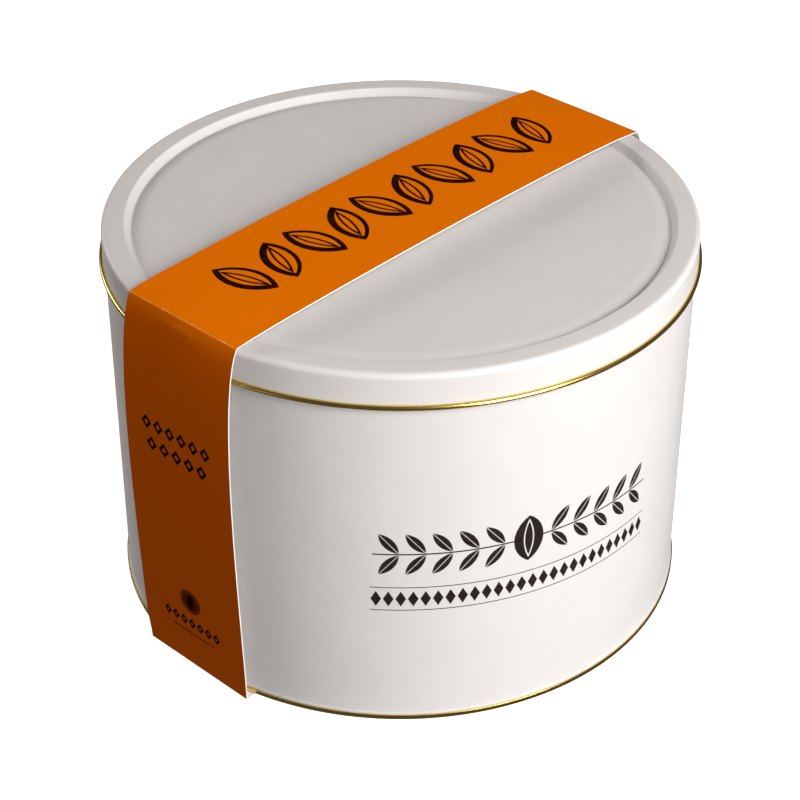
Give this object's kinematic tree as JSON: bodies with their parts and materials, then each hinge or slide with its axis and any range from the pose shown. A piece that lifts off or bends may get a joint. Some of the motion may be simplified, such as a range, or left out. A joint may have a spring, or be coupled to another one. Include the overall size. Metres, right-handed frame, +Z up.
{
  "type": "biscuit tin",
  "caption": "Shut round biscuit tin of white enamelled tinplate with a gold rolled hem, held in a printed orange card sleeve that loops over the lid and under the base.",
  "frame": {"origin": "on the surface the tin stands on, under the centre of the tin, which is the bottom centre of the whole", "axes": "+Z up out of the lid, +X along the card sleeve, which is the longest way across, and +Y across the sleeve"},
  "size_m": [0.2068, 0.2026, 0.1422],
  "materials": {
    "enamel": "satin white enamel on tinplate",
    "gold_lacquer": "glossy gold lacquer on tinplate",
    "printed_card": "coated card printed orange outside, white inside and at its cut edges"
  },
  "bodies": {
    "root": {"tin_body": "enamel", "lid": "enamel", "base_end": "gold_lacquer", "sleeve": "printed_card"}
  },
  "joints": []
}
